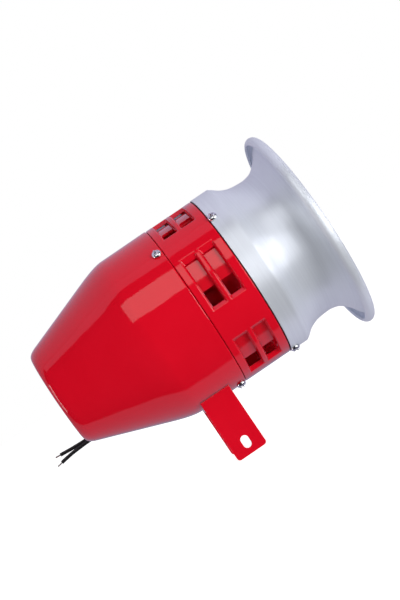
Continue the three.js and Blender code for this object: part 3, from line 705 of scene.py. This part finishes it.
def strap_side(half, radius, bend):
    """One face of the strap in the Y-Z plane, in millimetres from the axis, from one foot to the other."""
    foot = -AXIS_Z / MM
    corner = math.acos(half / radius)
    level = -radius * math.sin(corner)
    first, last = math.pi + corner + bend / radius, 2 * math.pi - corner - bend / radius
    steps = 40
    turns = [first + (last - first) * i / steps for i in range(steps + 1)]
    saddle = [(radius * math.cos(turn), radius * math.sin(turn)) for turn in turns]
    near = [(-half, foot), *curve_points((-half, level - bend), (-half, level), saddle[0], 8)]
    far = [(-y, z) for y, z in near[::-1]]
    return [*near, *saddle[1:-1], *far]


def make_bracket():
    """The strap, trimmed to its rounded feet, with its slots cut and its edges eased."""
    half_width = BRACKET["width"] / 2
    thick, half, saddle_r = BRACKET["thick"], BRACKET["half_span"], BRACKET["saddle_r"]
    outside = strap_side(half, saddle_r, BRACKET["bend"][0])
    inside = strap_side(half - thick, saddle_r + thick, BRACKET["bend"][1])
    outline = [*outside, *inside[::-1]]
    strap = bmesh.new()
    ends = []
    for x in (BRACKET["x"] - half_width, BRACKET["x"] + half_width):
        ends.append([strap.verts.new((DATUM_X + x * MM, y * MM, AXIS_Z + z * MM)) for y, z in outline])
    bridge(strap, *ends)
    count = len(outline)
    for loop in ends:
        for i in range(count // 2 - 1):
            strap.faces.new((loop[i], loop[i + 1], loop[count - 2 - i], loop[count - 1 - i]))
    cutters = [leg_slot(**NEAR_SLOT), leg_slot(**FAR_SLOT), foot_trim()]
    bracket = finish_mesh(carve(plain_object(strap, "strap"), cutters), "mounting_bracket_painted", RED,
                          FIXED, bevel=0.35 * MM, crease=40)
    bracket.visible_glossy = False
    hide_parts("mounting_bracket")


def prism_along_y(mesh, outline, y_range):
    """A solid along Y with an outline of (x, z) points in millimetres, z from the floor."""
    loops = [[mesh.verts.new((DATUM_X + x * MM, y * MM, z * MM)) for x, z in outline] for y in y_range]
    bridge(mesh, *loops)
    for loop in loops:
        mesh.faces.new(loop)


def leg_slot(width, top, low, y):
    """The cutter for a round-ended slot, with the heights of its two centres and the stretch of Y it cuts."""
    r = width / 2
    turns = [math.pi * i / 16 for i in range(17)]
    upper = [(BRACKET["x"] + r * math.cos(turn), top + r * math.sin(turn)) for turn in turns]
    lower = [(BRACKET["x"] - r * math.cos(turn), low - r * math.sin(turn)) for turn in turns]
    mesh = bmesh.new()
    prism_along_y(mesh, [*upper, *lower], y)
    return plain_object(mesh, "slot")


def foot_trim():
    """What is cut off the feet's corners, so that they end round."""
    mesh = bmesh.new()
    r = BRACKET["corner_r"]
    turns = [math.pi / 2 * i / 10 for i in range(11)]
    for side in (-1, 1):
        edge = BRACKET["x"] + side * BRACKET["width"] / 2
        clear = edge + side * CUTTER_REACH
        arc = [(edge + side * r * (math.sin(turn) - 1), r * (1 - math.cos(turn))) for turn in turns]
        outline = [*arc, (clear, r), (clear, -CUTTER_REACH), (edge - side * r, -CUTTER_REACH)]
        prism_along_y(mesh, outline, CUTTER_SPAN)
    return plain_object(mesh, "foot_trim")


# ---- the lead outlet ----

def make_grommet():
    radius = CUP["corner_r"] + CONE_SLOPE * (GROMMET["x"] - CUP["corner_x"])
    neck, flange, height = GROMMET["neck_r"], GROMMET["flange_r"], GROMMET["height"]
    tail, (groove_in, groove_out) = GROMMET["tail"], GROMMET["groove"]
    inside = [(0, -tail), (flange - 0.6, -tail), (flange - 0.2, groove_in), (neck, groove_in)]
    outside = [(neck, groove_out), (flange - 0.2, groove_out), (flange, 0.5), (flange, 1.2),
               (flange - 0.5, 1.9), (flange - 1.4, height), (flange - 2.2, height), (0, height - 0.1)]
    mesh = bmesh.new()
    lathe_z(mesh, scaled([*inside, *outside]), 40)
    tilt = Matrix.Rotation(-math.atan(CONE_SLOPE), 4, "Y")
    place = radial_frame(GROMMET["x"] * MM, GROMMET["angle"], radius * MM) @ tilt
    bmesh.ops.transform(mesh, matrix=place, verts=mesh.verts)
    grommet = finish_mesh(mesh, "cable_grommet_rubber", RUBBER, FIXED)
    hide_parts("cable_grommet")


# ---- the rotor ----

def make_rotor():
    """The chopper: a drum with its own ports, the disc that carries it, and the blades and ribs inside."""
    make_drum()
    make_disc()
    mesh = bmesh.new()
    for i in range(PORT_COUNT):
        blade(mesh, 360 / PORT_COUNT * i)
        rib(mesh, 360 / PORT_COUNT * i)
    finish_mesh(mesh, "rotor_blades", RED_ROTOR, TURNING, bevel=0.25 * MM)


def make_drum():
    outer, inner = ROTOR["drum_r"] * MM, (ROTOR["drum_r"] - ROTOR["wall"]) * MM
    ends = (ROTOR["back_x"] * MM, ROTOR["front_x"] * MM)
    grow = ROTOR_PORT["grow"]
    rows = [(low - grow, high + grow) for low, high in PORT_ROWS]
    mesh = bmesh.new()
    pierced_wall(mesh, scaled(rows), ROTOR_PORT["centre"], ROTOR_PORT["width"], (outer, inner), ends)
    drum = finish_mesh(mesh, "rotor_drum", RED_ROTOR, TURNING, bevel=0.25 * MM, crease=28)
    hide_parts("rotor")


def make_disc():
    hub_rear, hub_front = ROTOR["hub_x"]
    hub_r, bore_r, rear = ROTOR["hub_r"], ROTOR["bore_r"], ROTOR["back_x"]
    front = rear + ROTOR["wall"]
    rim_r = ROTOR["drum_r"] - ROTOR["wall"] - ROTOR["disc_gap"]
    fillet = [(front, hub_r + 4), (front + 1.2, hub_r + 1.6), (front + 4, hub_r)]
    outline = [(hub_rear, bore_r), (hub_rear, hub_r), (rear, hub_r), (rear, rim_r), (front, rim_r), *fillet,
               (hub_front, hub_r - 1), (hub_front, bore_r)]
    mesh = bmesh.new()
    turned(mesh, scaled(outline), 96)
    finish_mesh(mesh, "rotor_disc", RED_ROTOR, TURNING, bevel=0.25 * MM)


def blade(mesh, turn):
    """A swept blade, from the drum's wall beside a port inwards to the hub, with a slight curve."""
    start = at(0, BLADE["outer_r"] * MM, BLADE["outer_angle"] + turn)
    end = at(0, BLADE["inner_r"] * MM, BLADE["inner_angle"] + turn)
    across = (end - start).normalized().cross(Vector((1, 0, 0)))
    side = across * BLADE["thick"] * MM / 2
    steps = 10
    rings = []
    for i in range(steps + 1):
        t = i / steps
        middle = start.lerp(end, t) + across * (BLADE["bow"] * MM * math.sin(math.pi * t))
        rings.append(section(mesh, middle, BLADE["x"], side))
    for near, far in zip(rings, rings[1:]):
        bridge(mesh, near, far)
    mesh.faces.new(rings[0])
    mesh.faces.new(rings[-1][::-1])


def rib(mesh, turn):
    """A flat rib from the hub to the drum, between two columns of ports."""
    inner = at(0, RIB["inner_r"] * MM, RIB["centre"] + turn)
    outer = at(0, RIB["outer_r"] * MM, RIB["centre"] + turn)
    side = (outer - inner).normalized().cross(Vector((1, 0, 0))) * RIB["thick"] * MM / 2
    loops = [section(mesh, end, RIB["x"], side) for end in (inner, outer)]
    bridge(mesh, *loops)
    mesh.faces.new(loops[0][::-1])
    mesh.faces.new(loops[1])


def section(mesh, middle, x_range, side):
    """The four corners of a blade or rib where it is cut across."""
    rear, front = (Vector((x * MM, 0, 0)) for x in x_range)
    corners = (rear - side, front - side, front + side, rear + side)
    return [mesh.verts.new(middle + corner) for corner in corners]


def make_shaft_end():
    """The threaded end of the shaft, which shows through the horn, and the rest of the shaft behind it."""
    (rear, front), r, chamfer = SHAFT["x"], SHAFT["r"], SHAFT["chamfer"]
    outline = [(rear, 0), (rear, r - chamfer), (rear + chamfer, r), (SHAFT["thread_x"] - 0.2, r)]
    for i in range(SHAFT["turns"]):
        x = SHAFT["thread_x"] + SHAFT["pitch"] * i
        outline += [(x, r - 0.02), (x + SHAFT["pitch"] / 2, SHAFT["root_r"])]
    outline += [(front - 0.4, r - 0.1), (front, r - chamfer), (front, 0)]
    mesh = bmesh.new()
    turned(mesh, scaled(outline), 48)
    shaft = finish_mesh(mesh, "motor_shaft_ground", STEEL, TURNING)
    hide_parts("motor_shaft")


def make_washer():
    (rear, front), bore_r, r = WASHER["x"], WASHER["bore_r"], WASHER["r"]
    along, across = WASHER["chamfer"]
    outline = [(rear, bore_r), (rear, r - across), (rear + along, r), (front - along, r), (front, r - across),
               (front, bore_r)]
    mesh = bmesh.new()
    turned(mesh, scaled(outline), 64)
    washer = finish_mesh(mesh, "rotor_washer_zinc", ZINC, TURNING)
    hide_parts("rotor_washer")


def solid_about_axis(outline, sides, name):
    mesh = bmesh.new()
    turned(mesh, scaled(outline), sides)
    return plain_object(mesh, name)


def make_nut():
    """A hexagon with both ends chamfered, bored through."""
    (rear, front), (before, after) = NUT["x"], NUT["cutter_x"]
    corner_r, bore_r = NUT["corner_r"], NUT["bore_r"]
    along, across = NUT["chamfer"]
    blank = solid_about_axis([(rear, 0), (rear, corner_r - across), (rear + along, corner_r),
                              (front - along, corner_r), (front, corner_r - across), (front, 0)], 64, "blank")
    hexagon = solid_about_axis([(before, 0), (before, corner_r), (after, corner_r), (after, 0)], 6, "hexagon")
    bore = solid_about_axis([(before, 0), (before, bore_r), (after, bore_r), (after, 0)], 48, "bore")
    common = plain_object(carve(blank, [hexagon], "INTERSECT"), "common")
    nut = finish_mesh(carve(common, [bore]), "rotor_nut_zinc", ZINC, TURNING, bevel=0.15 * MM)
    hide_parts("rotor_nut")


# ---- the studio ----

FLOOR_SIZE = 30.0
FLOOR_GLOW = 0.8
AMBIENT = {"above": 0.36, "below": 0.82, "band": (-0.4, 0.4)}
ROOM = {"camera_side": 0.03, "far_low": 0.42, "far_high": 0.50, "edge": (-0.06, 0.0), "band": (-0.2, 0.2)}
BACKDROP = 1.0
COOL = (0.95, 0.90, 1.22)
WHITE = (1.0, 1.0, 1.0)


def make_floor():
    look = Look("floor_pale", Roughness=0.9, Specular_IOR_Level=0.1)
    look.colour(look.ramp(look.noise(0.7, 2), (0.86, 0.86, 0.865), (0.88, 0.88, 0.885)))
    look.shader.inputs["Emission Color"].default_value = (*WHITE, 1)
    look.shader.inputs["Emission Strength"].default_value = FLOOR_GLOW
    mesh = bmesh.new()
    bmesh.ops.create_grid(mesh, x_segments=4, y_segments=4, size=FLOOR_SIZE / 2)
    data = bpy.data.meshes.new("floor")
    mesh.to_mesh(data)
    mesh.free()
    data.materials.append(look.material)
    floor = bpy.data.objects.new("floor", data)
    floor.visible_glossy = False
    floor.visible_diffuse = False
    bpy.context.scene.collection.objects.link(floor)


def make_world():
    """A white surround with an even ambient light, which gloss sees as bright behind the siren only."""
    world = bpy.data.worlds.new("studio")
    bpy.context.scene.world = world
    world.use_nodes = True
    tree = world.node_tree
    tree.nodes.clear()
    ray = tree.nodes.new("ShaderNodeLightPath")

    def background(colour, strength):
        made = tree.nodes.new("ShaderNodeBackground")
        made.inputs["Color"].default_value = (*colour, 1)
        made.inputs["Strength"].default_value = strength
        return made

    def choose(switch, when_off, when_on):
        made = tree.nodes.new("ShaderNodeMixShader")
        tree.links.new(ray.outputs[switch], made.inputs["Fac"])
        tree.links.new(when_off.outputs[0], made.inputs[1])
        tree.links.new(when_on.outputs[0], made.inputs[2])
        return made

    place = tree.nodes.new("ShaderNodeTexCoord")
    split = tree.nodes.new("ShaderNodeSeparateXYZ")
    tree.links.new(place.outputs["Generated"], split.inputs["Vector"])

    def graded(source, band, low, high):
        made = tree.nodes.new("ShaderNodeMapRange")
        made.inputs["From Min"].default_value, made.inputs["From Max"].default_value = band
        made.inputs["To Min"].default_value = low
        made.inputs["To Max"].default_value = high
        tree.links.new(source, made.inputs["Value"])
        return made

    far_side = graded(split.outputs["Z"], ROOM["band"], ROOM["far_low"], ROOM["far_high"])
    level = graded(split.outputs["Y"], ROOM["edge"], ROOM["camera_side"], 1.0)
    tree.links.new(far_side.outputs["Result"], level.inputs["To Max"])
    around = graded(split.outputs["Z"], AMBIENT["band"], AMBIENT["below"], AMBIENT["above"])
    mirrored = background(COOL, 1.0)
    tree.links.new(level.outputs["Result"], mirrored.inputs["Strength"])
    ambient = background(WHITE, 1.0)
    tree.links.new(around.outputs["Result"], ambient.inputs["Strength"])
    backdrop = background(WHITE, BACKDROP)
    shown = choose("Is Camera Ray", choose("Is Glossy Ray", ambient, mirrored), backdrop)
    output = tree.nodes.new("ShaderNodeOutputWorld")
    tree.links.new(shown.outputs["Shader"], output.inputs["Surface"])


def add_softbox(name, direction, distance, size, radiance, tint=WHITE, mirrored=True, scattered=True):
    """A rectangular light that looks at the middle of the siren."""
    data = bpy.data.lights.new(name, "AREA")
    data.shape = "RECTANGLE"
    data.size, data.size_y = size
    data.energy = radiance * math.pi * size[0] * size[1]
    data.color = tint
    light = bpy.data.objects.new(name, data)
    light.visible_glossy = mirrored
    light.visible_diffuse = scattered
    away = Vector(direction).normalized()
    light.location = Vector((0, 0, AXIS_Z)) + distance * away
    light.rotation_euler = away.to_track_quat("Z", "Y").to_euler()
    bpy.context.scene.collection.objects.link(light)


def make_lights():
    add_softbox("key_softbox", (-0.03, -0.755, 0.656), 1.0, (0.82, 0.52), 1.45)
    add_softbox("fill_panel", (0.6, -0.8, 0.1), 2.0, (0.7, 0.7), 14.0, mirrored=False)
    add_softbox("right_softbox", (0.707, -0.707, 0.0), 1.1, (0.95, 0.75), 3.2, scattered=False)
    add_softbox("left_strip", (-0.985, -0.17, 0.02), 1.1, (0.18, 0.8), 4.0, scattered=False)
    add_softbox("ceiling_panel", (0.0, -0.195, 1.0), 1.26, (2.2, 0.315), 0.5, tint=COOL)


make_camera()
make_leads()
dress_nodes()
make_rear_cup()
make_port_housing()
make_horn()
make_seam_gasket()
make_screws()
make_bracket()
make_grommet()
make_rotor()
make_shaft_end()
make_washer()
make_nut()
make_floor()
make_world()
make_lights()
bpy.context.scene.view_settings.view_transform = "Standard"
